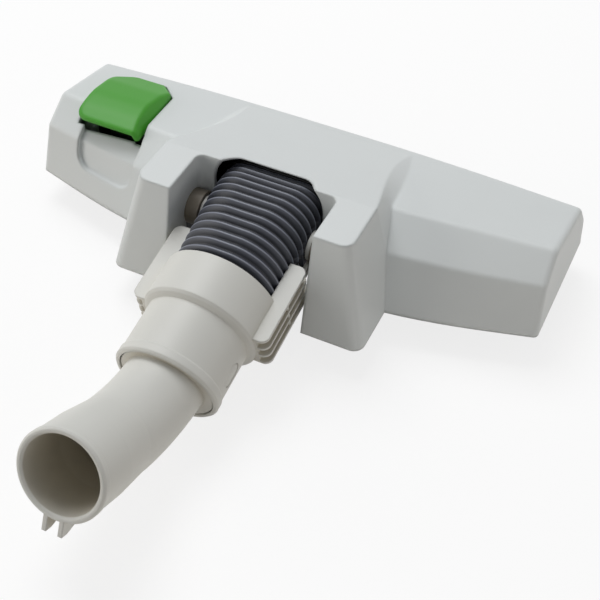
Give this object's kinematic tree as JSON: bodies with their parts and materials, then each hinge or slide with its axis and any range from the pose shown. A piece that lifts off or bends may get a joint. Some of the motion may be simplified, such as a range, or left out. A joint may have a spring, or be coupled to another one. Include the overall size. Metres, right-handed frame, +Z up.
{
  "type": "vacuum floor brush head",
  "caption": "Wide vacuum floor head with a rocker pedal that lifts its bristle strips, a bellows hose and a tilting, swivelling neck.",
  "frame": {"origin": "centre of the box round the whole head with its neck lowered, on the floor", "axes": "+X across the head to the right seen from behind, +Y forward, +Z up"},
  "size_m": [0.2748, 0.2692, 0.072],
  "materials": {
    "housing": "fine moulded grain, cool light grey",
    "neck": "fine moulded grain, warm off-white",
    "pedal": "satin green",
    "base": "fine grain, near black",
    "sole": "smooth, light grey",
    "bellows": "matt dark blue-grey",
    "steel": "drawn bar",
    "bristle": "dense dark filaments",
    "lint": "short nap",
    "tread": "matt grey",
    "bush": "grey-brown"
  },
  "bodies": {
    "head": {"upper_cover": "housing", "lower_body": "base", "air_trough": "base", "air_duct": "base", "sole_plate": "sole", "lint_strip_rear": "lint", "lint_strip_front": "lint", "screws": "steel", "pedal_axle": "steel", "wheel_axle_left": "steel", "wheel_axle_right": "steel", "roller_pin_left": "steel", "roller_pin_right": "steel", "pivot_bush_left": "bush", "pivot_bush_right": "bush", "hose_front_cuff": "base"},
    "neck": {"yoke": "neck", "swivel_latch_left": "neck", "swivel_latch_right": "neck", "swivel_seal": "bellows", "hose_rear_cuff": "base", "hose": "bellows"},
    "elbow": {"elbow": "neck", "swivel_clip": "base"},
    "pedal": {"pedal": "pedal"},
    "brush_frame": {"lift_frame": "base", "bristle_strip_rear": "bristle", "bristle_strip_front": "bristle"},
    "wheel_left": {"wheel_left": "tread"},
    "wheel_right": {"wheel_right": "tread"},
    "roller_left": {"roller_left": "sole"},
    "roller_right": {"roller_right": "sole"}
  },
  "joints": [
    {"name": "neck_tilt", "type": "hinge", "parent": "head", "child": "neck", "pos_m": [0, 0.04513, 0.0418], "axis": [-1, 0, 0], "range_deg": [0, 75], "deforming": ["hose"]},
    {"name": "elbow_swivel", "type": "hinge", "parent": "neck", "child": "elbow", "pos_m": [0, -0.04446, 0.02584], "axis": [0, -0.9845, -0.1754], "range_deg": [-75, 75]},
    {"name": "pedal_rock", "type": "hinge", "parent": "head", "child": "pedal", "pos_m": [-0.1, 0.09013, 0.0379], "axis": [1, 0, 0], "range_deg": [0, 12.32]},
    {"name": "brush_lift", "type": "slide", "parent": "head", "child": "brush_frame", "axis": [0, 0, 1], "range_m": [0, 0.00485]},
    {"name": "wheel_left_spin", "type": "hinge", "parent": "head", "child": "wheel_left", "pos_m": [-0.052, 0.03393, 0.0124], "axis": [1, 0, 0], "continuous": true},
    {"name": "roller_left_spin", "type": "hinge", "parent": "head", "child": "roller_left", "pos_m": [-0.12, 0.11113, 0.0088], "axis": [1, 0, 0], "continuous": true},
    {"name": "wheel_right_spin", "type": "hinge", "parent": "head", "child": "wheel_right", "pos_m": [0.052, 0.03393, 0.0124], "axis": [1, 0, 0], "continuous": true},
    {"name": "roller_right_spin", "type": "hinge", "parent": "head", "child": "roller_right", "pos_m": [0.12, 0.11113, 0.0088], "axis": [1, 0, 0], "continuous": true}
  ],
  "couplings": [
    {"joint": "brush_lift", "follows": "pedal_rock", "m_per_rad": 0.022327}
  ]
}
